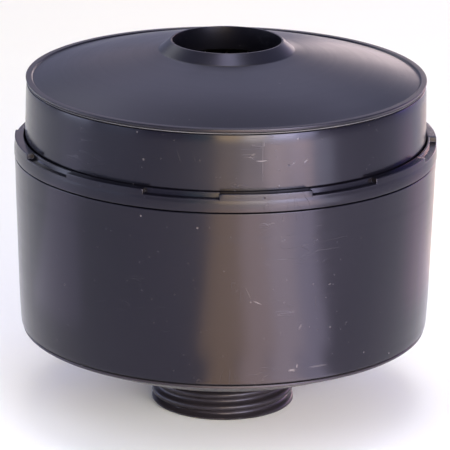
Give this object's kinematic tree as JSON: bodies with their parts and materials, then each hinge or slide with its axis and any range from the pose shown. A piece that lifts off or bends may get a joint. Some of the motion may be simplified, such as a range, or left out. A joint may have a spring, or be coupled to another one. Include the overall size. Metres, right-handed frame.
{
  "type": "pneumatic muffler",
  "caption": "Black plastic muffler canister with a domed lid and central outlet, a castellated bayonet lock ring, a tapered body and a male round-threaded neck.",
  "frame": {"origin": "centre of the neck's end face, at the bottom of the part", "axes": "+Z along the canister's axis, from the threaded neck up to the outlet; -Y is the front"},
  "size_m": [0.1172, 0.1172, 0.1042],
  "materials": {
    "cap_plastic": "semi-gloss moulded black",
    "lower_shell_plastic": "semi-gloss moulded black",
    "ring_plastic": "semi-gloss moulded black",
    "upper_shell_plastic": "semi-gloss moulded black",
    "lid_plastic": "satin moulded black",
    "seal_rubber": "matte",
    "gasket_rubber": "matte",
    "inner_plastic": "moulded",
    "wire_mesh": "woven wire",
    "spring_steel": "rolled",
    "felt": "needled felt",
    "foam": "open-cell foam",
    "pleat_paper": "resin-treated paper"
  },
  "bodies": {
    "canister": {"bottom_cap": "cap_plastic", "lower_shell": "lower_shell_plastic", "upper_shell": "upper_shell_plastic", "lid": "lid_plastic", "lid_gasket": "gasket_rubber", "bottom_seal": "seal_rubber", "body_seal": "seal_rubber", "inlet_diffuser": "inner_plastic", "lower_grid": "inner_plastic", "lower_screen": "wire_mesh", "felt_disc_lower": "felt", "foam_disc_lower": "foam", "separator_plate": "inner_plastic", "foam_disc_upper": "foam", "felt_disc_upper": "felt", "upper_screen": "wire_mesh", "upper_grid": "inner_plastic", "wave_spring": "spring_steel", "pleat_frame": "inner_plastic", "pleated_pack": "pleat_paper"},
    "lock_ring": {"lock_ring": "ring_plastic"}
  },
  "joints": [
    {"name": "lock_ring_turn", "type": "hinge", "parent": "canister", "child": "lock_ring", "pos_m": [0, 0, 0.0749], "axis": [0, 0, 1], "range_deg": [0, 22.5]}
  ]
}
